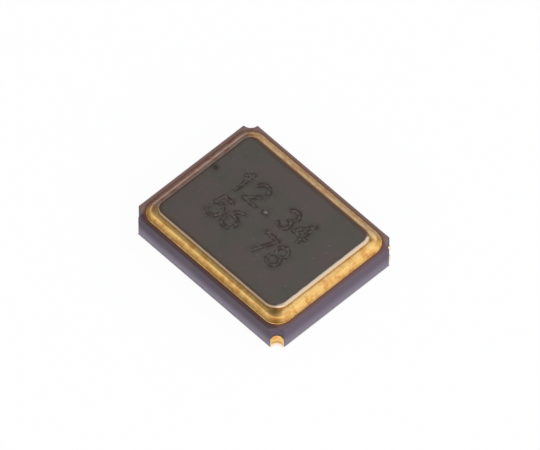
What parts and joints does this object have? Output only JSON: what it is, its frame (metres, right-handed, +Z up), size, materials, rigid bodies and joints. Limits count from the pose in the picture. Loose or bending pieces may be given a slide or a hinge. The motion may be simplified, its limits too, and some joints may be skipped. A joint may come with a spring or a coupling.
{
  "type": "quartz crystal unit",
  "caption": "Surface-mount quartz crystal unit: notched dark ceramic base, gold-plated seal ring, welded dark metal lid and solder pads underneath.",
  "frame": {"origin": "middle of the solder plane, under the centre of the ceramic base", "axes": "+Z up from the solder plane to the lid; +X along the package towards terminals 2 and 3; +Y across it towards terminals 3 and 4, with terminal 1 at the corner -X -Y"},
  "size_m": [0.0032, 0.0024, 0.0006],
  "materials": {
    "ceramic": "matte dark alumina",
    "gold_plating": "satin gold plating over nickel",
    "braze": "satin gold plating over silver-copper braze",
    "lid_metal": "matte dark nickel, bright along the rolled edge",
    "quartz": "polished clear quartz",
    "electrode_film": "satin silver film",
    "silver_glue": "matte silver-filled glue",
    "tungsten": "matte sintered tungsten"
  },
  "bodies": {
    "root": {"ceramic_base": "ceramic", "seal_metallization": "gold_plating", "braze_fillet": "braze", "seal_ring": "gold_plating", "lid": "lid_metal", "quartz_blank": "quartz", "electrode_top": "electrode_film", "electrode_bottom": "electrode_film", "adhesive_dot_1": "silver_glue", "adhesive_dot_2": "silver_glue", "mounting_pad_1": "gold_plating", "mounting_pad_2": "gold_plating", "signal_via_1": "tungsten", "signal_trace_3": "tungsten", "ground_via_2": "tungsten", "ground_via_4": "tungsten", "terminal_1": "gold_plating", "terminal_2": "gold_plating", "terminal_3": "gold_plating", "terminal_4": "gold_plating"}
  },
  "joints": []
}
